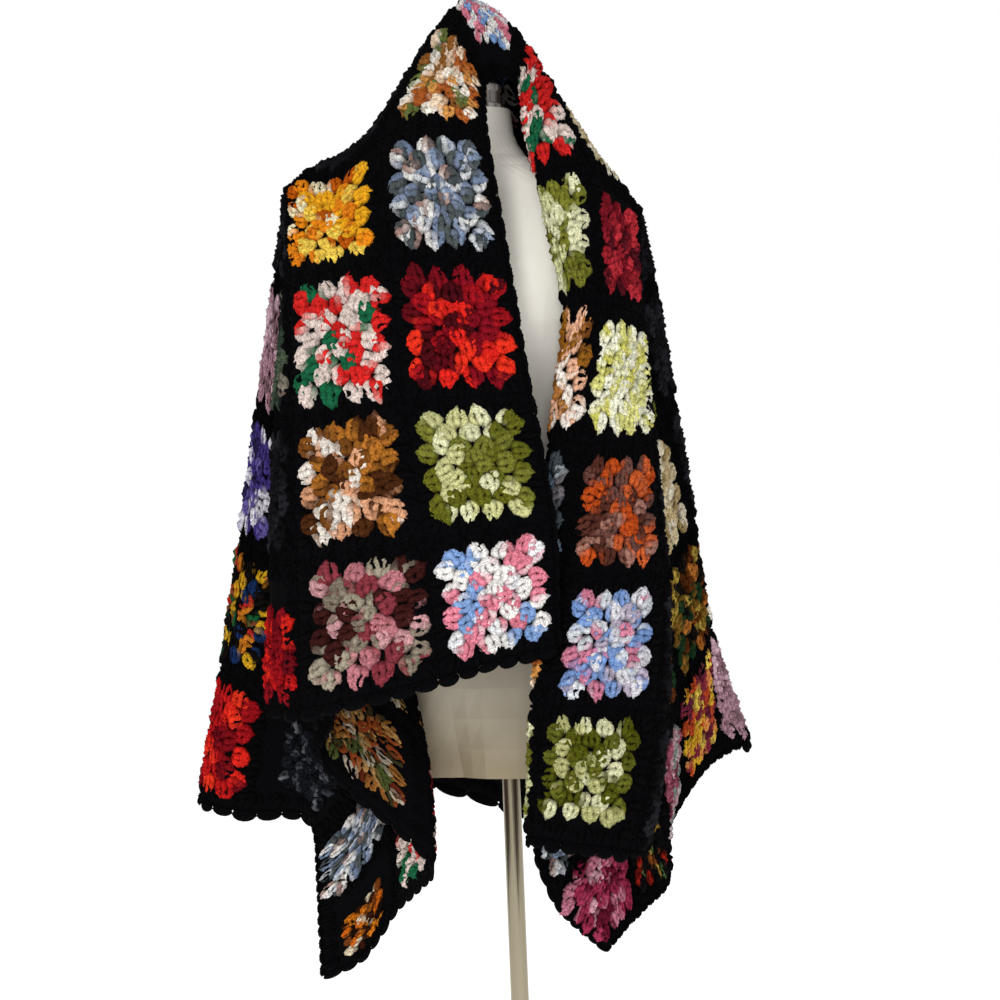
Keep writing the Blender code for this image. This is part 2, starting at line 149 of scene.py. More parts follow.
# The back hangs from the shoulder seam. A row for each seam down it, with the same leans and square length.
BACK_FALLS = (
    # seam  right   back    bow    square
    (4.0, -0.110, 0.190, 0.000, 0.142),
    (4.5, -0.090, 0.110, 0.000, 0.144),
    (5.0, -0.050, 0.140, 0.000, 0.145),
    (5.5, 0.000, 0.080, 0.000, 0.150),
    (5.75, 0.020, 0.105, 0.000, 0.156),
    (6.0, 0.040, 0.130, 0.000, 0.149),
    (6.5, 0.085, 0.100, -0.006, 0.128),
    (7.0, 0.128, 0.170, -0.016, 0.119),
)

SMOOTHING_PASSES = 4
FINE_CELLS = 10

TORSO_ROWS = np.array(TORSO_SECTIONS)
TORSO_SLOPES = np.gradient(TORSO_ROWS[:, 1:], TORSO_ROWS[:, 0], axis=0)
TORSO_RIGHT = np.array([math.cos(TORSO_TURN), math.sin(TORSO_TURN)])
TORSO_FRONT = np.array([math.sin(TORSO_TURN), -math.cos(TORSO_TURN)])
SHOULDER_ROWS = np.array([(seam, *point, take_up) for seam, point, take_up in SHOULDER_SEAM])
BAND_ROWS = np.array(
    [(seam, *edge, share, *crease, *first, sag, bulge) for seam, edge, share, crease, first, sag, bulge in FRONT_BAND]
)
LEFT_ROWS = np.array([row[1:] for row in LEFT_FOLDS])
RIGHT_ROWS = np.array([row[1:] for row in RIGHT_FOLDS])
BACK_ROWS = np.array(BACK_FALLS)


def between(rows, at):
    """The row's values at a place between rows, where each row starts with its own place."""
    return np.array([np.interp(at, rows[:, 0], rows[:, i]) for i in range(1, rows.shape[1])])


def torso_section(heights):
    """Half width, half depth and forward shift of the torso at each height above its foot, eased between the rows."""
    rows = TORSO_ROWS
    heights = np.clip(heights, rows[0, 0], rows[-1, 0])
    at = np.clip(np.searchsorted(rows[:, 0], heights, side="right") - 1, 0, len(rows) - 2)
    step = (rows[at + 1, 0] - rows[at, 0])[:, None]
    t = (heights - rows[at, 0])[:, None] / step
    low, high = rows[at, 1:], rows[at + 1, 1:]
    eased = low * (1 + 2 * t) * (1 - t) ** 2 + high * t**2 * (3 - 2 * t)
    return (eased + step * (TORSO_SLOPES[at] * t * (1 - t) ** 2 - TORSO_SLOPES[at + 1] * t**2 * (1 - t))).T


def clear_of_torso(points):
    """The points, with any that the torso would come too close to moved straight out from its middle."""
    heights = points[..., 2].ravel() - TORSO_FOOT
    width, depth, forward = torso_section(heights)
    middle = forward[:, None] * TORSO_FRONT
    flat = points[..., :2].reshape(-1, 2) - middle
    reach = np.hypot(flat @ TORSO_RIGHT / (width + TORSO_CLEAR), flat @ TORSO_FRONT / (depth + TORSO_CLEAR))
    inside = (reach < 1) & (heights > -0.02) & (heights < TORSO_ROWS[-1, 0] + 0.004)
    flat[inside] /= reach[inside, None]
    moved = points.copy()
    moved[..., :2] = (flat + middle).reshape(points[..., :2].shape)
    return moved


def shoulder(along):
    """A point of the shoulder seam, and the cloth taken up there."""
    *point, take_up = between(SHOULDER_ROWS, along)
    return np.array(point), take_up


BOW_SCALE = 6.75  # 1 over the most that share**2 * (1 - share) comes to


def hang(top, reach, limit, lean_right, lean_back, bow, square, take_up):
    """A point on a ray that leans this much for each metre that it falls, this many squares below its top."""
    fall = np.array([lean_right, lean_back, -1.0])
    share = reach / limit
    point = top + (reach * square - take_up * min(reach, 1.0)) * fall / np.linalg.norm(fall)
    point[0] += bow * BOW_SCALE * share**2 * (1 - share)
    return point


COLUMNS_WITHIN = 1.3  # squares, from the last of the cone's rays to the first full column


def cone_point(tip, folds, ahead_limit, ahead, behind, columns_from):
    """A point of the cone of folds below a shoulder tip, from its squares ahead of the tip and behind it. Where it is
    columns_from squares ahead, it starts to hang in columns instead, each with the fold that it has at the hem."""
    reach = math.hypot(ahead, behind)
    angle = math.atan2(behind, ahead)
    limit = min(ahead_limit / max(math.cos(angle), 1e-6), (ACROSS - 2) / max(math.sin(angle), 1e-6))
    column = min(max((ahead - columns_from) / COLUMNS_WITHIN, 0.0), 1.0)
    angle += (math.atan2(behind, ahead_limit) - angle) * column**2 * (3 - 2 * column)
    return hang(tip, reach, limit, *between(folds, math.degrees(angle)))


def rear_point(along, across):
    """A point behind the second seam: in the left cone of folds, in the back, or in the right cone."""
    if along < LEFT_TIP:
        return cone_point(shoulder(LEFT_TIP)[0], LEFT_ROWS, LEFT_TIP, LEFT_TIP - along, across - 2, 0.7)
    if along > RIGHT_TIP:
        return cone_point(shoulder(RIGHT_TIP)[0], RIGHT_ROWS, ALONG - RIGHT_TIP, along - RIGHT_TIP, across - 2, ALONG)
    top, take_up = shoulder(along)
    return hang(top, across - 2, ACROSS - 2, *between(BACK_ROWS, along), take_up)


def band_point(along, across):
    """A point of the front band, between the front edge and the second seam."""
    section = between(BAND_ROWS, along)
    edge, share, crease, first = section[:3], section[3], section[4:7], section[7:10]
    sag, bulge = section[10:]
    second = rear_point(along, 2)
    middle = (first + second) / 2 - np.array([0, bulge, sag])
    points = np.array([edge, crease, first, middle, second])
    return np.array([np.interp(across, [0.0, share, 1.0, 1.5, 2.0], points[:, i]) for i in range(3)])


def rounded(grid, passes):
    """The grid with its folds rounded: each pass moves a point halfway to the mean of its neighbours."""
    for _ in range(passes):
        inner = grid.copy()
        inner[1:-1] += 0.25 * (grid[:-2] - 2 * grid[1:-1] + grid[2:])
        inner[:, 1:-1] += 0.25 * (grid[:, :-2] - 2 * grid[:, 1:-1] + grid[:, 2:])
        grid = inner
    return grid


def hung_cloth():
    """The middle surface of the blanket: an array of points, along by across."""
    alongs = np.linspace(0, ALONG, ALONG * FINE_CELLS + 1)
    acrosses = np.linspace(0, ACROSS, ACROSS * FINE_CELLS + 1)
    grid = np.array([[band_point(a, b) if b <= 2 else rear_point(a, b) for b in acrosses] for a in alongs])
    grid = clear_of_torso(rounded(grid, SMOOTHING_PASSES))
    return clear_of_torso(rounded(grid, 1))


class Net:
    """A smooth surface through a net of points, so many to a square, which also reaches a little past its edges."""

    PAD = 3
    AT_ONCE = 40000  # points

    def __init__(self, grid, cells):
        for _ in range(self.PAD):
            grid = np.concatenate([2 * grid[:1] - grid[1:2], grid, 2 * grid[-1:] - grid[-2:-1]])
            grid = np.concatenate([2 * grid[:, :1] - grid[:, 1:2], grid, 2 * grid[:, -1:] - grid[:, -2:-1]], axis=1)
        self.grid = grid
        self.cells = cells

    @staticmethod
    def weights(t):
        t2, t3 = t * t, t * t * t
        return 0.5 * np.stack([2 * t2 - t3 - t, 3 * t3 - 5 * t2 + 2, 4 * t2 - 3 * t3 + t, t3 - t2], axis=1)

    def at(self, along, across):
        shape = along.shape
        u, v = along.ravel() * self.cells + self.PAD, across.ravel() * self.cells + self.PAD
        out = np.empty((len(u), 3))
        steps = np.arange(-1, 3)
        for start in range(0, len(u), self.AT_ONCE):
            part = slice(start, start + self.AT_ONCE)
            i = np.clip(np.floor(u[part]).astype(int), 1, self.grid.shape[0] - 3)
            j = np.clip(np.floor(v[part]).astype(int), 1, self.grid.shape[1] - 3)
            patch = self.grid[(i[:, None] + steps)[:, :, None], (j[:, None] + steps)[:, None, :]]
            out[part] = np.einsum("ni,nj,nijk->nk", self.weights(u[part] - i), self.weights(v[part] - j), patch)
        return out.reshape(*shape, 3)


class Cloth:
    """The hung cloth. place() puts points of the flat blanket on it, at a height above its middle surface."""

    NORMAL_CELLS = 20
    NEAR = 0.04  # of a square: how far to each side the slope is taken

    def __init__(self):
        cells, near = self.NORMAL_CELLS, self.NEAR
        self.points = Net(hung_cloth(), FINE_CELLS)
        alongs = np.linspace(0, ALONG, ALONG * cells + 1)
        acrosses = np.linspace(0, ACROSS, ACROSS * cells + 1)
        a, b = np.meshgrid(alongs, acrosses, indexing="ij")
        run = self.points.at(a + near, b) - self.points.at(a - near, b)
        rise = self.points.at(a, b + near) - self.points.at(a, b - near)
        normals = np.cross(run, rise)
        normals /= np.linalg.norm(normals, axis=2, keepdims=True)
        faces_back = normals[2 * cells, cells // 2, 1] > 0
        self.normals = Net(-normals if faces_back else normals, cells)

    def place(self, along, across, height):
        return self.points.at(along, across) + height[..., None] * self.normals.at(along, across)


CLOTH = Cloth()


# ---- yarns: the colours in the order that they come along the yarn, and how many stitches each lasts ----
YARNS = {
    "rust_gold": ("B4602A 4 DC9A50 3 FFF6E8 4 6E7A40 3 96602C 3 FBE2C4 3", 0.85),
    "rust_orange": ("C8602E 3 F2B870 3 6E7A40 3 FBE8CC 3 8A3A20 2 E29448 3 54502E 2", 0.9),
    "slate_rose": ("565C5C 4 7C8CA8 3 F0EEEA 3 AC8A80 2 4A5254 4 E2E4E6 2 8C9CB8 3", 0.5),
    "reds": ("86101E 4 E0261E 3 4A0B14 3 A0131D 3 F03420 3 620D18 3", 1.6),
    "scarlet": ("A8141C 4 E4281E 3 6E0D18 3 C41A1C 4 F03822 2 8A101B 4", 1.6),
    "olive_lime": ("66681E 6 787A30 4 CCCC90 4 E2E1B6 2", 1.6),
    # A darker copy of the olive yarn above, as painted shade on its square
    "olive_dusk": ("545612 6 686A24 4 BCBC80 4 DCDBB0 3", 1.6),
    "candy": ("EC8A9E 4 F8F4F0 3 8AACE0 4 F8F4F0 3 E08294 3 F0F0F2 2", 1.3),
    # A darker copy of the candy yarn above, as painted shade on its square
    "candy_dusk": ("DC86A0 3 DCE0E6 3 7FA0D8 3 E4E2E8 3 BCB0C4 2 7E9CD0 3", 0.9),
    "sunset": ("FFB824 6 FF981C 4 FFF2C8 2 CC6010 3 FFD858 5 F08A1C 3", 1.6),
    "ember_night": ("E8871E 3 3A1A0C 3 F2E2C4 2 8A4A1E 3 E07018 2 20120A 3", 1.4),
    "holly": ("DC2826 5 ECD8CE 3 1C6844 3 ECD8CE 3", 1.35),
    "amber_peach": ("B8742A 3 4E2A12 4 E6A880 3 FAF0E4 3 7E4C1E 3", 0.95),
    "mauve_rose": ("8E3A44 4 C47C84 3 A89E8A 3 3E1A18 5 D09A9E 2 8C8070 3", 1.1),
    "brown_peach": ("96601E 3 F0BA98 4 FFF4E8 3 C07E3C 3 7A4A1E 3", 0.9),
    # Darker than the yarn itself: painted shade on its square
    "ice": ("4C5459 4 6A7C8E 3 A8B0B4 3 7C767A 3", 1.2),
    "cream_tan": ("DCCDA6 5 C2A676 3 EDE3CA 4 9A8054 2", 1.2),
    "wine": ("821826 4 CC3440 4 5A1520 3 A0242F 3", 1.4),
    "citrus": ("E8E68C 4 FBFAE2 4 D8D468 3 F4F3D4 3", 0.9),
    "rust_mauve": ("C04E1C 4 6E4840 4 D06030 3 A8786A 2 5C3228 4", 0.9),
    "sage_cream": ("7C7E2E 4 E6E6BC 4 6C6E26 3 D0D09C 3", 1.4),
    "speckled_cream": ("E0CFA8 5 CAB080 3 F0E6CC 3 A8905E 2", 0.9),
    "woodland": ("5E3010 3 C07430 2 1E3A22 4 7A5A20 3 B89C44 2 17140F 4", 0.9),
    "ember_mauve": ("E6B434 3 C8502A 3 6A2438 4 F0D058 2 8C3040 3 EC9854 2", 1.0),
    "blush_grey": ("A4566A 4 C8A0A8 3 808A84 3 D0C2C2 2 6E3446 3", 1.1),
    "magenta": ("A63252 4 CC7E94 3 741A34 4 E4AEBA 2 B43E60 3", 1.3),
    "bonfire": ("A02418 2 100F0F 5 C06A2A 2 151313 5 567A40 1 D0A448 1 0F0E0E 4", 0.8),
    "violet_ice": ("4C3C88 4 E4E0EA 3 6E60A6 3 2E2650 3", 1.1),
    "primary": ("E0AC24 3 18305E 3 14100E 4 1C6438 2 C02E28 2 D88624 2 100E0C 5", 0.8),
    "thistle": ("BC92A0 5 DAB6C2 4 96727C 4", 1.3),
    "moss_dust": ("4E5A48 3 8C8476 2 6A524E 3 1C1C1C 4 38463A 3", 1.0),
    "navy_snow": ("2F3F66 4 EFEFEF 3 7C8496 4 F6F4EE 2", 1.1),
    "ink_grey": ("17181D 5 44474E 2 101115 5 72757A 1 1C1E24 3", 0.8),
    "charcoal": ("17171A 5 25252A 4 101012 5", 1.0),
    "teal_coral": ("2C8A86 4 F4A38A 3 F8F2E4 3 1F5F66 3", 1.0),
    "plum_gold": ("6B2A5A 4 D8A63A 3 F2E4BE 2 93487C 3", 1.0),
    "forest": ("1F5A3C 4 7FA860 3 E8EED2 2 2F7A50 3", 1.1),
}

# The yarns of the squares, a row for each column across and from the left hem to the right hem. A dash is any yarn.
SQUARE_YARNS = (
    "candy olive_lime reds slate_rose rust_gold candy holly sage_cream brown_peach ice rust_gold sage_cream",
    "mauve_rose amber_peach holly sunset charcoal candy cream_tan wine citrus rust_mauve candy_dusk olive_dusk",
    "scarlet charcoal moss_dust charcoal - - - charcoal charcoal charcoal charcoal charcoal",
    "charcoal - - thistle - - - charcoal olive_lime charcoal - -",
    "rust_orange - moss_dust violet_ice - - - charcoal speckled_cream - - -",
    "holly - - primary - - - - woodland woodland - slate_rose",
    "ember_night slate_rose ink_grey scarlet - - - thistle ember_mauve blush_grey bonfire magenta",
)
PLACED = {(i, j): yarn for j, row in enumerate(SQUARE_YARNS) for i, yarn in enumerate(row.split()) if yarn != "-"}

# Squares that were worked smaller or larger, or joined off their middle: how far along and across in millimetres, and
# their size along and across
UNEVEN = {
    (0, 0): (0, -1, 1.0, 1.0), (2, 0): (0, 0, 1.04, 1.04), (5, 0): (1, 17, 0.7, 0.7), (6, 0): (0, 1, 1.06, 1.06),
    (7, 0): (-4, 4, 0.95, 1.0), (8, 0): (-4, 3, 1.0, 1.08), (10, 0): (0, 6, 0.85, 0.85), (0, 1): (1, -6, 1.0, 1.0),
    (2, 1): (0, 0, 1.05, 1.05), (3, 1): (2, 10, 1.04, 1.04), (6, 1): (27, -10, 0.5, 0.8), (7, 1): (9, 0, 0.84, 0.98),
    (8, 1): (2, 4, 0.94, 1.12), (9, 1): (2, 0, 0.98, 1.0), (10, 1): (2, -2, 1.0, 0.9), (11, 1): (-6, -5, 0.88, 0.92),
    (0, 2): (-18, -7, 0.68, 1.0), (0, 4): (0, -9, 0.94, 0.86), (3, 5): (-20, 0, 0.95, 0.95),
    (0, 6): (-22, 5, 0.6, 0.62), (1, 6): (-10, 0, 1.08, 1.06), (2, 6): (-8, 6, 0.64, 0.66),
    (3, 6): (-15, -2, 1.04, 1.0), (8, 6): (10, -6, 1.06, 1.0), (9, 6): (0, 6, 0.95, 0.82),
    (10, 6): (16, 0, 0.95, 0.95), (11, 6): (8, -5, 1.04, 1.06),
}


def linear(hex_code):
    parts = [int(hex_code[i : i + 2], 16) / 255 for i in (0, 2, 4)]
    return [p / 12.92 if p <= 0.04045 else ((p + 0.055) / 1.055) ** 2.4 for p in parts]


SOFT_CHANGE = 0.45  # of a stitch, to each side of where one colour gives way to the next


def yarn_colours(name):
    """The yarn's colours over one repeat: where each starts and ends being itself, the colours, and the repeat."""
    words, stretch = YARNS[name]
    words = words.split()
    places, colours, place = [], [], 0.0
    for code, count in zip(words[::2], words[1::2]):
        run = float(count) * stretch
        places += [place + SOFT_CHANGE, place + run - SOFT_CHANGE]
        colours += [linear(code)] * 2
        place += run
    return np.array(places), np.array(colours), place


def dyed(name, at):
    """The yarn's colour at each place along it."""
    places, colours, repeat = yarn_colours(name)
    at = np.mod(at, repeat)
    places = np.concatenate([[places[-1] - repeat], places, [places[0] + repeat]])
    colours = np.concatenate([colours[-1:], colours, colours[:1]])
    return np.stack([np.interp(at, places, colours[:, i]) for i in range(3)], axis=-1)


# ---- stitches ----
class Shape:
    """Lumps of yarn in millimetres: x along the round, y outwards, z up from the cloth. For each point it also keeps
    how far along its lump it is, which lump that is, and how open to the light it lies, which sets the painted shade in
    its colour."""

    # How open each point lies, for the painted shade: the foot, the first ring and the sides of a lump are painted
    # darker, its top lighter
    FOOT_OPEN = 0.1
    TIP_OPEN = 0.6
    FIRST_RING_OPEN = 0.45
    SIDE_OPEN = 0.25
    TOP_OPEN = 0.9
    YARN_UV_MM = 10.0

    def __init__(self):
        self.points, self.share, self.lump, self.open = [], [], [], []
        self.faces, self.yarn_uv = [], []

    def lump_along(self, path, sides):
        """One lump along a path of (x, y, z, half width, half thickness), closed at both ends."""
        path = np.array(path, float)
        middle, wide, thick = path[:, :3], path[:, 3], path[:, 4]
        way = np.gradient(path[:, :2], axis=0)
        way /= np.linalg.norm(way, axis=1, keepdims=True)
        length = np.concatenate([[0], np.cumsum(np.linalg.norm(np.diff(middle, axis=0), axis=1))])
        first = len(self.points)
        lump = (max(self.lump) + 1) if self.lump else 0
        last_ring = len(path) - 2
        self.points.append(middle[0])
        self.open.append(self.FOOT_OPEN)
        for k in range(1, last_ring + 1):
            across = np.array([way[k, 1], -way[k, 0], 0.0])
            # painted shade: the first ring and the thinner rings are darker
            ring_open = (self.FIRST_RING_OPEN if k == 1 else 1.0) * (thick[k] / max(thick)) ** 0.9
            for s in range(sides):
                turn = 2 * math.pi * s / sides
                up = np.array([0, 0, thick[k]])
                self.points.append(middle[k] + across * wide[k] * math.cos(turn) + up * math.sin(turn))
                self.open.append(min(1.0, max(0.0, self.SIDE_OPEN + self.TOP_OPEN * math.sin(turn))) * ring_open)
        self.points.append(middle[-1])
        self.open.append(self.TIP_OPEN)
        shares = [0.0] + [k / (len(path) - 1) for k in range(1, last_ring + 1) for _ in range(sides)] + [1.0]
        self.share += shares
        self.lump += [lump] * len(shares)

        def ring(k, s):
            return first + 1 + (k - 1) * sides + s % sides

        def uv(k, s):
            return s / sides, length[k] / self.YARN_UV_MM

        for s in range(sides):
            self.faces.append((first, ring(1, s + 1), ring(1, s)))
            self.yarn_uv.append((uv(0, s), uv(1, s + 1), uv(1, s)))
            for k in range(1, last_ring):
                self.faces.append((ring(k, s), ring(k, s + 1), ring(k + 1, s + 1), ring(k + 1, s)))
                self.yarn_uv.append((uv(k, s), uv(k, s + 1), uv(k + 1, s + 1), uv(k + 1, s)))
            tip = first + 1 + last_ring * sides
            self.faces.append((ring(last_ring, s), ring(last_ring, s + 1), tip))
            self.yarn_uv.append((uv(last_ring, s), uv(last_ring, s + 1), uv(last_ring + 1, s)))
        return self


def mirrored(path):
    return [(-x, *rest) for x, *rest in path]


# The trebles of a cluster and the chain of their tops. A row for each point of a path, from its foot: x, y, z, half
# width and half thickness
KNOTTY_SIDE = (
    (1.2, -2.5, 0.4, 0, 0),
    (3.8, 0.4, 0.7, 3.4, 3.1),
    (6.4, 4.0, 1.3, 4.2, 4.1),
    (6.9, 7.6, 0.7, 3.5, 3.0),
    (5.5, 11.6, 1.2, 4.0, 3.9),
    (3.8, 15.4, 0.5, 3.0, 2.7),
    (2.6, 18.4, 0.2, 0, 0),
)
KNOTTY_MIDDLE = (
    (0, -2.5, 0.4, 0, 0),
    (0, 0.6, 1.0, 3.4, 3.3),
    (0.3, 4.6, 1.9, 4.2, 4.5),
    (-0.3, 8.6, 1.2, 3.5, 3.4),
    (0.3, 12.8, 2.0, 4.4, 4.5),
    (0, 17.6, 1.0, 3.4, 3.1),
    (0, 21.4, 0.4, 0, 0),
)
CHAIN = ((10.2, 5.4, 0.6, 0, 0), (8.0, 9.2, 2.2, 2.0, 2.2), (3.8, 15.2, 2.8, 2.3, 2.4), (0.0, 18.8, 1.6, 0, 0))
PLAIN_SIDE = (
    (1.2, -2.5, 0.4, 0, 0),
    (4.6, 1.4, 0.8, 3.7, 3.4),
    (7.0, 6.4, 1.0, 4.2, 3.9),
    (4.9, 13.2, 0.8, 3.9, 3.3),
    (3.6, 17.0, 0.2, 0, 0),
)
PLAIN_MIDDLE = (
    (0, -2.5, 0.4, 0, 0),
    (0, 2.2, 1.4, 3.6, 3.6),
    (0.2, 9.2, 1.9, 4.3, 4.5),
    (0.1, 17.2, 1.4, 3.6, 3.6),
    (0, 20.8, 0.4, 0, 0),
)
TREBLES = 3


def treble_cluster(side, middle, sides, chain_sides=0):
    """Three trebles worked into one space, fanned out and drawn together to a blunt point, with the chain of their tops
    if that has any sides."""
    made = Shape()
    for path in (mirrored(side), middle, side):
        made.lump_along(path, sides)
    if chain_sides:
        for path in (mirrored(CHAIN), CHAIN):
            made.lump_along(path, chain_sides)
    return made


# The fan of a scallop and one of its ridges. A row for each point: how far out as a share of the reach, z, half width
# and half thickness, and for a ridge the share, half width and half thickness alone
FAN = ((0, 0.3, 10.5, 1.9), (0.45, 0.3, 11.6, 2.2), (0.8, 0.2, 8.8, 1.9), (1, 0, 5.0, 1.3), (1.07, 0, 0, 0))
RIDGE = ((0.1, 1.2, 1.2), (0.5, 1.9, 1.9), (0.85, 2.1, 1.7))
FAN_WIDE = 2.2  # radians, between the first and the last ridge
RIDGES = 5
FAN_FOOT = -3.0
RIDGE_FOOT = (0, -1.0, 1.0, 0, 0)
RIDGE_SPREAD = 10.0
RIDGE_TIP = (11.0, 0.99, 0.4)  # how far it spreads, how far out as a share of the reach, and z
SHELL_SIDES = 8
RIDGE_SIDES = 4
RIDGE_UP = 1.1


def shell(reach):
    """A scallop of the edging: a fan of trebles worked so close that only low ridges part them."""
    made = Shape()
    made.lump_along([(0, FAN_FOOT, 0, 0, 0)] + [(0, reach * out, *rest) for out, *rest in FAN], SHELL_SIDES)
    tip_spread, tip_out, tip_up = RIDGE_TIP
    for k in range(RIDGES):
        turn = FAN_WIDE * (k / (RIDGES - 1) - 0.5)
        aside, ahead = math.sin(turn), math.cos(turn) * reach
        path = [RIDGE_FOOT]
        path += [(aside * RIDGE_SPREAD * out, ahead * out, RIDGE_UP, *rest) for out, *rest in RIDGE]
        path += [(aside * tip_spread, ahead * tip_out, tip_up, 0, 0)]
        made.lump_along(path, RIDGE_SIDES)
    return made


STITCH = ((-3.0, -0.9, 0.4, 0, 0), (-1.4, -0.5, 1.2, 1.7, 2.3), (1.4, 0.5, 1.2, 1.7, 2.3), (3.0, 0.9, 0.4, 0, 0))
STITCH_SIDES = 5


BEND = 0.012  # of the unevenness, for each square millimetre of how far out a point is


def laid(shape, rows, uneven=0.0):
    """Copies of a shape laid on the cloth. A row for each copy: where it is counted from, along and across in squares;
    its place from there in millimetres; its turn; its width, length and height as a share of the shape's; and its lift
    in millimetres. Gives the points of all copies: copies, points, three."""
    along0, across0, along_mm, across_mm, turn, wide, long, high, lift = np.array(rows, float).T[..., None]
    draw = np.random.RandomState(len(rows))
    points = np.array(shape.points)[None] + uneven * draw.normal(size=(len(rows), len(shape.points), 3))
    points[..., 0] += draw.normal(size=(len(rows), 1)) * uneven * BEND * points[..., 1] ** 2
    x, y, z = points[..., 0] * wide, points[..., 1] * long, points[..., 2] * high + lift
    along = along0 + (along_mm + x * np.cos(turn) - y * np.sin(turn)) / SQUARE_MM
    across = across0 + (across_mm + x * np.sin(turn) + y * np.cos(turn)) / SQUARE_MM
    return CLOTH.place(along, across, z / 1000.0)


def mesh_piece(name, parts, made_of):
    """One object from (shape, points, colours) parts, where each part is many copies of its shape."""
    points, colours, starts, totals, corners, uvs = [], [], [], [], [], []
    base, corner = 0, 0
    for shape, placed, colour in parts:
        copies, count = placed.shape[:2]
        flat = np.array([v for face in shape.faces for v in face])
        sizes = np.array([len(face) for face in shape.faces])
        uv = np.array([p for face in shape.yarn_uv for p in face])
        shift = base + np.arange(copies)[:, None] * count
        corners.append((flat[None, :] + shift).ravel())
        begin = np.concatenate([[0], np.cumsum(sizes)[:-1]])
        starts.append((begin[None, :] + corner + np.arange(copies)[:, None] * len(flat)).ravel())
        totals.append(np.tile(sizes, copies))
        uvs.append(np.tile(uv, (copies, 1)))
        points.append(placed.reshape(-1, 3))
        colours.append(colour.reshape(-1, 3))
        base += copies * count
        corner += copies * len(flat)
    points, corners = np.concatenate(points), np.concatenate(corners)
    starts, totals = np.concatenate(starts), np.concatenate(totals)
    mesh = bpy.data.meshes.new(name)
    mesh.vertices.add(len(points))
    mesh.vertices.foreach_set("co", points.ravel())
    mesh.loops.add(len(corners))
    mesh.loops.foreach_set("vertex_index", corners)
    mesh.polygons.add(len(starts))
    mesh.polygons.foreach_set("loop_start", starts)
    mesh.polygons.foreach_set("loop_total", totals)
    mesh.update(calc_edges=True)
    layer = mesh.uv_layers.new(name="yarn")
    layer.data.foreach_set("uv", np.concatenate(uvs).ravel())
    # The colour attribute holds the dyed colour with the painted shade of the clusters' creases multiplied in
    tint = mesh.color_attributes.new("dye_and_painted_shade", "FLOAT_COLOR", "POINT")
    shades = np.concatenate(colours)
    tint.data.foreach_set("color", np.concatenate([shades, np.ones((len(shades), 1))], axis=1).ravel())
    mesh.validate()
    mesh.shade_smooth()
    mesh.materials.append(made_of)
    made = bpy.data.objects.new(name, mesh)
    bpy.context.scene.collection.objects.link(made)
    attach(made, "root")
    return made


# Each round's clusters: how many a side, how far out they start and how far apart they are in millimetres, and their
# width and length as a share of the shape's
ROUNDS = (
    # a side, foot, apart, wide, long
    (1, 1.5, 0.0, 1.00, 0.88),
    (2, 10.8, 20.6, 1.14, 1.00),
    (3, 24.6, 21.8, 1.16, 1.03),
    (4, 38.4, 23.8, 1.16, 1.06),
)
BLACK_ROUND = (5, 49.0, 24.6, 1.25, 0.88)


CORNER_LEAN = math.radians(17)
LOOSE_TURN = 0.2
LOOSE_SIZE = (0.88, 1.12)
LOOSE_HEIGHT = (0.85, 1.2)


def round_places(round_row, rng, stray):
    """The copies of one round of a square, in the order that they are worked: place, turn and size of each."""
    count, foot, apart, wide, long = round_row
    last = (count - 1) / 2
    for side in range(4):
        turn = side * math.pi / 2
        for k in range(count):
            slide, lean = (k - last) * apart, 0.0
            if last:
                lean = -CORNER_LEAN * (slide / (apart * last)) * (1.0 if abs(k - last) == last else 0.5)
            x, y = slide + rng.uniform(-stray, stray), foot + rng.uniform(-stray, stray)
            place = (x * math.cos(turn) - y * math.sin(turn), x * math.sin(turn) + y * math.cos(turn))
            turned = turn + lean + rng.uniform(-LOOSE_TURN, LOOSE_TURN)
            size = (wide * rng.uniform(*LOOSE_SIZE), long * rng.uniform(*LOOSE_SIZE), rng.uniform(*LOOSE_HEIGHT))
            yield *place, turned, *size


def squares_of(columns):
    return [(i, j) for j in columns for i in range(ALONG)]


def chosen_yarn(i, j):
    """The yarn of a square: the one that is placed there, or any of them, picked by the square's numbers."""
    if (i, j) in PLACED:
        return PLACED[i, j]
    names = sorted(YARNS)
    return names[(i * 7 + j * 11 + i * j * 3) % len(names)]


STRAY_MM = 1.3
DRIFT_MM = 1.5
LIFT_MM = 0.4
CLUSTER_UNEVEN_MM = 0.45
TWIST = 0.05
SWELL = (0.97, 1.03)
YARN_START = 40  # stitches
SLACK = 0.3  # stitches of yarn between two clusters, at most
CHAIN_STITCHES = 1.5
LIGHT = (0.88, 1.08)
SHADE = (0.42, 0.68)  # painted shade: the share of the dyed colour kept in the creases, and what the open tops add back
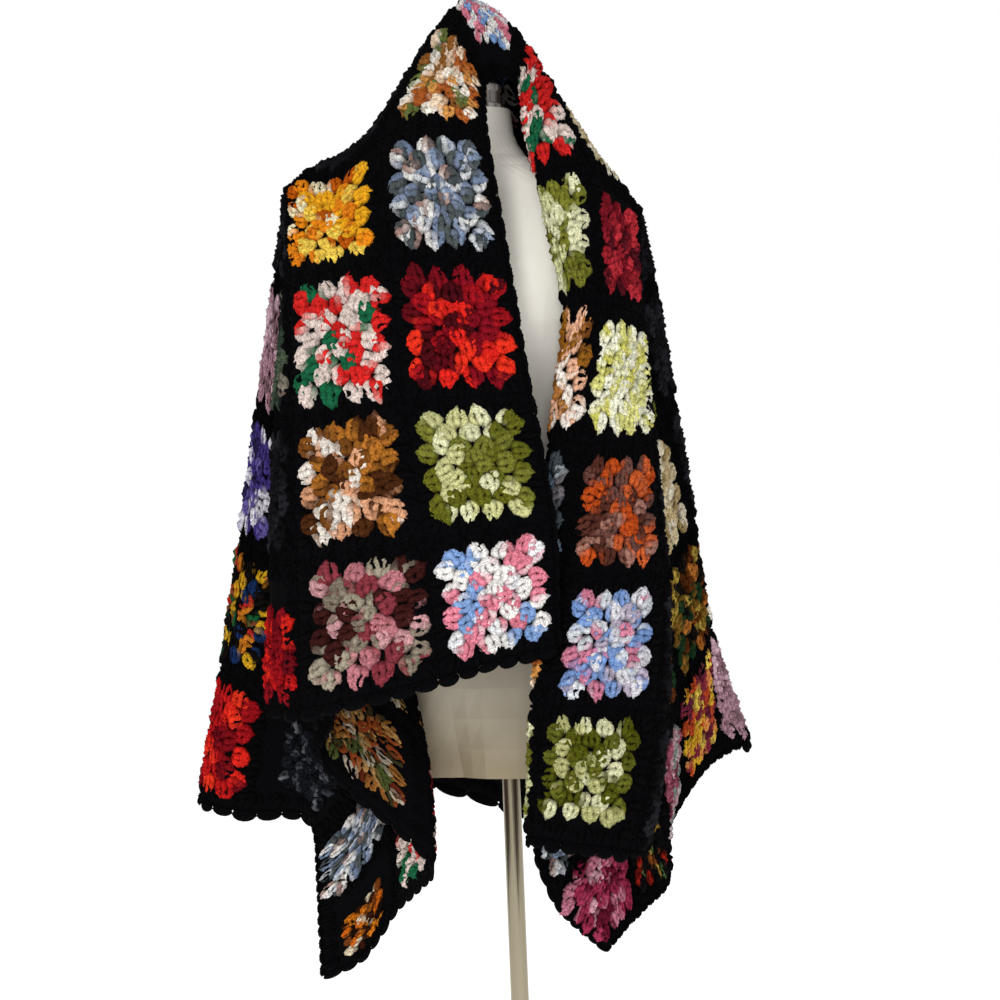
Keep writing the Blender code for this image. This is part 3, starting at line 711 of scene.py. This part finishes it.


def coloured_squares(name, columns, made_of):
    """The coloured rounds of every square in these columns."""
    cluster = treble_cluster(KNOTTY_SIDE, KNOTTY_MIDDLE, 5, 4)
    share, lump = np.array(cluster.share), np.array(cluster.lump)
    stitches = np.where(lump >= TREBLES, (lump - TREBLES + share) * CHAIN_STITCHES, lump + share)
    # Painted shade: each cluster's colour is darkened at its foot and where its lumps meet, and kept light on its open
    # tops
    shade = SHADE[0] + SHADE[1] * np.array(cluster.open)
    rows, tones = [], []
    for i, j in squares_of(columns):
        rng = random.Random(100 * i + j)
        along_off, across_off, tall, broad = UNEVEN.get((i, j), (0, 0, 1.0, 1.0))
        grown = (tall + broad) / 2
        twist, swell = rng.uniform(-TWIST, TWIST), rng.uniform(*SWELL)
        along_off += rng.uniform(-DRIFT_MM, DRIFT_MM)
        across_off += rng.uniform(-DRIFT_MM, DRIFT_MM)
        yarn = chosen_yarn(i, j)
        at = rng.uniform(0, YARN_START)
        for round_row in ROUNDS:
            for x, y, turn, wide, long, high in list(round_places(round_row, rng, STRAY_MM)):
                along_mm = (x * math.cos(twist) - y * math.sin(twist)) * swell * tall + along_off
                across_mm = (x * math.sin(twist) + y * math.cos(twist)) * swell * broad + across_off
                size = (wide * grown, long * grown, high)
                lift = rng.uniform(-LIFT_MM, LIFT_MM)
                rows.append((i + 0.5, j + 0.5, along_mm, across_mm, turn + twist, *size, lift))
                # the random tone of the cluster, times its painted shade
                light = rng.uniform(*LIGHT) * shade
                tones.append(dyed(yarn, at + stitches) * light[:, None])
                at += TREBLES + rng.uniform(0, SLACK)
    placed = laid(cluster, rows, CLUSTER_UNEVEN_MM)
    return mesh_piece(name, [(cluster, placed, np.array(tones))], made_of)


def black_part(shape, rows, uneven=0.0):
    """Copies of a shape in black yarn, whose colour is its material's."""
    placed = laid(shape, rows, uneven)
    return shape, placed, np.zeros_like(placed)


BLACK_STRAY_MM = 0.7
BLACK_UNEVEN_MM = 0.4
BLACK_LIFT_MM = -0.5


def black_rounds():
    """The black round of every square."""
    rows = []
    for i, j in squares_of(range(ACROSS)):
        rng = random.Random(5000 + 100 * i + j)
        for copy in round_places(BLACK_ROUND, rng, BLACK_STRAY_MM):
            rows.append((i + 0.5, j + 0.5, *copy, BLACK_LIFT_MM))
    return black_part(treble_cluster(PLAIN_SIDE, PLAIN_MIDDLE, 4), rows, BLACK_UNEVEN_MM)


JOIN_STITCHES = 20  # a side of a square
JOIN_STRAY_MM = 0.4
JOIN_TURN = 0.15


def joins():
    """Slanted stitches along every join and edge."""
    rng = random.Random(77)
    rows = []
    for i in range(ALONG + 1):
        for k in range(ACROSS * JOIN_STITCHES):
            slide = rng.uniform(-JOIN_STRAY_MM, JOIN_STRAY_MM)
            turn = math.pi / 2 + rng.uniform(-JOIN_TURN, JOIN_TURN)
            rows.append((i, (k + 0.5) / JOIN_STITCHES, slide, 0, turn, 1, 1, 1, 0))
    for j in range(ACROSS + 1):
        for k in range(ALONG * JOIN_STITCHES):
            slide = rng.uniform(-JOIN_STRAY_MM, JOIN_STRAY_MM)
            turn = rng.uniform(-JOIN_TURN, JOIN_TURN)
            rows.append(((k + 0.5) / JOIN_STITCHES, j, 0, slide, turn, 1, 1, 1, 0))
    return black_part(Shape().lump_along(STITCH, STITCH_SIDES), rows)


SHELLS = 6  # a side of a square
TALL_MM = 9.6
LOW_MM = 3.6
RIGHT_LOW_FROM = 2.0  # squares across, on the right hem
BACK_TALL = (2.4, 7.6)  # squares along, on the back hem
SHELL_TURN = 0.1
SHELL_WIDE = (0.97, 1.08)
SHELL_LONG = (0.85, 1.15)


def edging():
    """Scallops along the hems, and lower ones along the front edges and where the corners hang folded."""
    rng = random.Random(88)
    tall, low = [], []
    for k in range(ACROSS * SHELLS):
        at = (k + 0.5) / SHELLS
        tall.append((0, at, math.pi / 2))
        (tall if at < RIGHT_LOW_FROM else low).append((ALONG, at, -math.pi / 2))
    for k in range(ALONG * SHELLS):
        at = (k + 0.5) / SHELLS
        (tall if BACK_TALL[0] <= at <= BACK_TALL[1] else low).append((at, ACROSS, 0))
        low.append((at, 0, math.pi))
    parts = []
    for reach, places in ((TALL_MM, tall), (LOW_MM, low)):
        turns = [turn + rng.uniform(-SHELL_TURN, SHELL_TURN) for _, _, turn in places]
        sizes = [(rng.uniform(*SHELL_WIDE), rng.uniform(*SHELL_LONG), 1) for _ in places]
        rows = [(along, across, 0, 0, turn, *size, 0) for (along, across, _), turn, size in zip(places, turns, sizes)]
        parts.append(black_part(shell(reach), rows))
    return parts


# Painted shade: in the gaps between coloured clusters this dark sheet stands in for the shade seen through the holes
SHEET_CELLS = 12
SHEET_THICK = 0.0024


def dark_sheet(made_of):
    """The thin dark sheet that the stitches stand on, one closed sheet: black like the black yarn under the black
    rounds, and painted shade where it shows through the gaps between coloured clusters.
    """
    shape = bmesh.new()
    bmesh.ops.create_grid(shape, x_segments=ALONG * SHEET_CELLS, y_segments=ACROSS * SHEET_CELLS, size=1.0)
    flat = np.array([vertex.co for vertex in shape.verts])
    along, across = (flat[:, 0] + 1) / 2 * ALONG, (flat[:, 1] + 1) / 2 * ACROSS
    placed = CLOTH.place(along, across, np.zeros(len(flat)))
    for vertex, point in zip(shape.verts, placed):
        vertex.co = point
    mesh = bpy.data.meshes.new("blanket_dark_sheet")
    shape.to_mesh(mesh)
    shape.free()
    mesh.shade_smooth()
    mesh.materials.append(made_of)
    made = bpy.data.objects.new("blanket_dark_sheet", mesh)
    thick = made.modifiers.new("thickness", "SOLIDIFY")
    thick.thickness = SHEET_THICK
    thick.offset = 0.0
    bpy.context.scene.collection.objects.link(made)
    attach(made, "root")
    return made


# ---- materials ----
def new_material(name):
    made = bpy.data.materials.new(name)
    made.use_nodes = True
    return made, made.node_tree, made.node_tree.nodes["Principled BSDF"]


def node(tree, kind, feeds=None, **settings):
    """A new node with these sockets or properties set, and these sockets fed by other nodes' outputs."""
    made = tree.nodes.new(kind)
    for key, value in settings.items():
        if key in made.inputs:
            made.inputs[key].default_value = value
        else:
            setattr(made, key, value)
    for socket, output in (feeds or {}).items():
        tree.links.new(output, made.inputs[socket])
    return made


def mapped(tree, feed, spans):
    """A Map Range node with its From Min, From Max, To Min and To Max."""
    made = node(tree, "ShaderNodeMapRange", {"Value": feed})
    for key, value in zip(("From Min", "From Max", "To Min", "To Max"), spans):
        made.inputs[key].default_value = value
    return made.outputs["Result"]


def ramp(tree, feed, *stops):
    """A colour ramp between two stops of a position and a colour."""
    made = node(tree, "ShaderNodeValToRGB", {"Fac": feed})
    for element, (position, colour) in zip(made.color_ramp.elements, stops):
        element.position, element.color = position, (*linear(colour), 1)
    return made.outputs["Color"]


def bump(tree, shader, height, strength, distance):
    made = node(tree, "ShaderNodeBump", {"Height": height}, Strength=strength, Distance=distance)
    tree.links.new(made.outputs["Normal"], shader.inputs["Normal"])


def stretched_noise(tree, stretch, detail):
    """Noise in the object's own space, this fine along each of its axes."""
    place = node(tree, "ShaderNodeTexCoord").outputs["Object"]
    slide = node(tree, "ShaderNodeMapping", {"Vector": place}, Scale=stretch)
    noise = node(tree, "ShaderNodeTexNoise", {"Vector": slide.outputs["Vector"]}, Scale=1.0, Detail=detail)
    return noise.outputs["Fac"]


FIBRE_SCALE = 900.0
FIBRE_SHARE = 0.35
STRAND_SCALE = 400.0
PLY_SCALE = (5.0, 6.5, 1.0)
PLY_SLANT = 0.7
PAINTED_DEPTH_SHADE = (0.95, 1.35, 0.58, 1.22)  # painted shade: the bump depths that are darkest and lightest, and the shade that each gives the colour


def wool(name, base=None):
    """Fuzzy plied yarn: its colour, or the colour attribute where it has none, mottled by the strands that cross and
    twist in it, with fibre noise. The mottling is painted shade: darker in the hollows of the bump, lighter on its
    crests."""
    made, tree, shader = new_material(name)
    shader.inputs["Roughness"].default_value = 0.9
    shader.inputs["Specular IOR Level"].default_value = 0.04
    place = node(tree, "ShaderNodeTexCoord").outputs["Object"]
    fibres = node(tree, "ShaderNodeTexNoise", {"Vector": place}, Scale=FIBRE_SCALE, Detail=2.0, Roughness=0.6)
    strands = node(tree, "ShaderNodeTexNoise", {"Vector": place}, Scale=STRAND_SCALE, Detail=2.0, Roughness=0.6)
    uv = node(tree, "ShaderNodeUVMap", uv_map="yarn").outputs["UV"]
    slant = node(tree, "ShaderNodeMapping", {"Vector": uv}, Scale=PLY_SCALE, Rotation=(0.0, 0.0, PLY_SLANT))
    plies = node(tree, "ShaderNodeTexNoise", {"Vector": slant.outputs["Vector"]}, Scale=1.0, Detail=1.0)
    both = node(tree, "ShaderNodeMath", {0: plies.outputs["Fac"], 1: strands.outputs["Fac"]}, operation="ADD")
    depth = node(tree, "ShaderNodeMath", {0: fibres.outputs["Fac"], 2: both.outputs[0]}, operation="MULTIPLY_ADD")
    depth.inputs[1].default_value = FIBRE_SHARE
    bump(tree, shader, depth.outputs[0], 0.8, 0.0014)
    # Painted shade: the colour darkens where the bump sinks and lightens on its crests
    shade = mapped(tree, depth.outputs[0], PAINTED_DEPTH_SHADE)
    mixed = node(tree, "ShaderNodeMix", data_type="RGBA", blend_type="MULTIPLY")
    mixed.inputs["Factor"].default_value = 1.0
    if base:
        mixed.inputs["A"].default_value = (*base, 1.0)
    else:
        # the colour attribute: dyed colour with painted crease shade
        dye_and_painted_shade = node(tree, "ShaderNodeVertexColor", layer_name="dye_and_painted_shade")
        tree.links.new(dye_and_painted_shade.outputs["Color"], mixed.inputs["A"])
    tree.links.new(shade, mixed.inputs["B"])
    tree.links.new(mixed.outputs["Result"], shader.inputs["Base Color"])
    return made


def dress(name, made_of):
    """A finer material in all of a CAD node's slots."""
    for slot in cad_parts[name].material_slots:
        slot.material = made_of


SHELL_SHADE_HEIGHTS = (0.68, 1.20, 0.0, 1.0)  # from the hips, which are darkest, to the chest: partly a browner tone and partly painted shade, as the light falls from above
SHELL_CLOUDS = 0.25
SHELL_TONES = ((0.12, "96886C"), (0.9, "FFFBF0"))


def shell_material():
    """Painted shell, paler at the chest than at the hips, partly a browner tone and partly painted shade from the light
    above, with faint clouds and grain.
    """
    made, tree, shader = new_material("torso_shell_fine")
    shader.inputs["Roughness"].default_value = 0.6
    place = node(tree, "ShaderNodeTexCoord").outputs["Object"]
    clouds = node(tree, "ShaderNodeTexNoise", {"Vector": place}, Scale=9.0, Detail=4.0, Roughness=0.55)
    # Painted shade: the colour darkens towards the hips
    height = mapped(tree, node(tree, "ShaderNodeSeparateXYZ", {"Vector": place}).outputs["Z"], SHELL_SHADE_HEIGHTS)
    both = node(tree, "ShaderNodeMath", {0: clouds.outputs["Fac"], 2: height}, operation="MULTIPLY_ADD")
    both.inputs[1].default_value = SHELL_CLOUDS
    tree.links.new(ramp(tree, both.outputs[0], *SHELL_TONES), shader.inputs["Base Color"])
    grain = node(tree, "ShaderNodeTexNoise", {"Vector": place}, Scale=900.0, Detail=2.0)
    bump(tree, shader, grain.outputs["Fac"], 0.15, 0.0004)
    return made


# Painted reflections: the scale and the dark and bright tones of upright streaks on the chrome
REFLECTION_STREAKS = (130.0, 130.0, 3.0)
PAINTED_REFLECTION_TONES = ((0.40, "8A766A"), (0.62, "FFFCF6"))


def chrome_with_painted_reflections(name):
    """Chrome with upright bright and dark streaks in its colour: painted reflections of its surroundings."""
    made, tree, shader = new_material(name)
    shader.inputs["Metallic"].default_value = 0.1
    shader.inputs["Roughness"].default_value = 0.3
    shader.inputs["Coat Weight"].default_value = 0.6
    shader.inputs["Coat Roughness"].default_value = 0.1
    painted_reflections = stretched_noise(tree, REFLECTION_STREAKS, 1.0)
    tree.links.new(ramp(tree, painted_reflections, *PAINTED_REFLECTION_TONES), shader.inputs["Base Color"])
    return made


def brushed_metal(name, colour, roughness, stretch):
    """Metal with fine lines, which run along the axis that has the smallest stretch."""
    made, tree, shader = new_material(name)
    shader.inputs["Metallic"].default_value = 1.0
    shader.inputs["Base Color"].default_value = (*linear(colour), 1.0)
    lines = stretched_noise(tree, stretch, 3.0)
    rough = mapped(tree, lines, (0.0, 1.0, roughness - 0.08, roughness + 0.10))
    tree.links.new(rough, shader.inputs["Roughness"])
    bump(tree, shader, lines, 0.12, 0.0002)
    return made


# ---- camera, light and floor ----
CAMERA_BACK = 3.0
CAMERA_HEIGHT = 0.954
FRAME_WIDE = 1.06
CAMERA_ROLL = math.atan(0.04)
LAMPS = (
    # name    place              aim              size watts
    ("key", (-1.1, -2.8, 2.9), (0, 0, 1.05), 1.0, 37),
    ("front", (0.1, -3.2, 1.5), (0, 0, 1.1), 0.8, 13),
    ("fill", (2.2, -2.4, 1.4), (0, 0, 0.9), 1.8, 10),
)
SKY = 0.5
FLOOR_SIZE = 6.0
FLOOR_BELOW = 0.0005  # under the base, so that the two faces don't meet


def camera():
    data = bpy.data.cameras.new("camera")
    data.sensor_width = 36.0
    data.lens = data.sensor_width * CAMERA_BACK / FRAME_WIDE
    made = bpy.data.objects.new("camera", data)
    place = Matrix.Translation((0, -CAMERA_BACK, CAMERA_HEIGHT))
    made.matrix_world = place @ Matrix.Rotation(math.pi / 2, 4, "X") @ Matrix.Rotation(-CAMERA_ROLL, 4, "Z")
    bpy.context.scene.collection.objects.link(made)
    bpy.context.scene.camera = made


def sky():
    """A white surround for the camera that lights the blanket less than it shows."""
    world = bpy.data.worlds.new("studio")
    world.use_nodes = True
    tree = world.node_tree
    shown = tree.nodes["Background"]
    shown.inputs["Color"].default_value = (1, 1, 1, 1)
    shown.inputs["Strength"].default_value = 1.0
    light = node(tree, "ShaderNodeBackground", Strength=SKY)
    seen = node(tree, "ShaderNodeLightPath").outputs["Is Camera Ray"]
    feeds = {"Fac": seen, 1: light.outputs["Background"], 2: shown.outputs["Background"]}
    either = node(tree, "ShaderNodeMixShader", feeds)
    tree.links.new(either.outputs["Shader"], tree.nodes["World Output"].inputs["Surface"])
    bpy.context.scene.world = world
    bpy.context.scene.view_settings.view_transform = "Standard"


def lamp(name, place, aim, size, power):
    data = bpy.data.lights.new(name, "AREA")
    data.shape = "SQUARE"
    data.size = size
    data.energy = power
    made = bpy.data.objects.new(name, data)
    made.location = place
    made.rotation_mode = "QUATERNION"
    made.rotation_quaternion = (Vector(aim) - Vector(place)).to_track_quat("-Z", "Y")
    bpy.context.scene.collection.objects.link(made)


def floor():
    shape = bmesh.new()
    bmesh.ops.create_grid(shape, x_segments=1, y_segments=1, size=FLOOR_SIZE)
    mesh = bpy.data.meshes.new("floor")
    shape.to_mesh(mesh)
    shape.free()
    paint, _, shader = new_material("floor_paint")
    shader.inputs["Base Color"].default_value = (0.9, 0.9, 0.9, 1)
    shader.inputs["Roughness"].default_value = 0.9
    shader.inputs["Emission Color"].default_value = (1, 1, 1, 1)
    shader.inputs["Emission Strength"].default_value = 0.8
    mesh.materials.append(paint)
    made = bpy.data.objects.new("floor", mesh)
    made.location.z = -FLOOR_BELOW
    bpy.context.scene.collection.objects.link(made)


SQUARE_PIECES = (("squares_front", (0, 1)), ("squares_side", (2, 3)), ("squares_back", (4, 5)), ("squares_hem", (6,)))

camera()
sky()
for row in LAMPS:
    lamp(*row)
floor()

dyed_wool = wool("dyed_wool")
black_wool = wool("black_wool", linear("060608"))
dark_sheet_piece = dark_sheet(black_wool)
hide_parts("granny_blanket")
pieces = [coloured_squares(name, columns, dyed_wool) for name, columns in SQUARE_PIECES]
pieces.append(mesh_piece("black_rounds", [black_rounds()], black_wool))
pieces.append(mesh_piece("joins_and_edging", [joins(), *edging()], black_wool))

dress("torso_form", shell_material())
dress("neck_cap", chrome_with_painted_reflections("chrome_fine"))
dress("neck_finial", brushed_metal("chrome_fine_2", "D8D7D4", 0.12, (20, 20, 900)))
dress("stand_pole", brushed_metal("nickel_fine", "9F9680", 0.30, (900, 900, 12)))
dress("stand_base", brushed_metal("base_fine", "A8A399", 0.34, (60, 60, 60)))
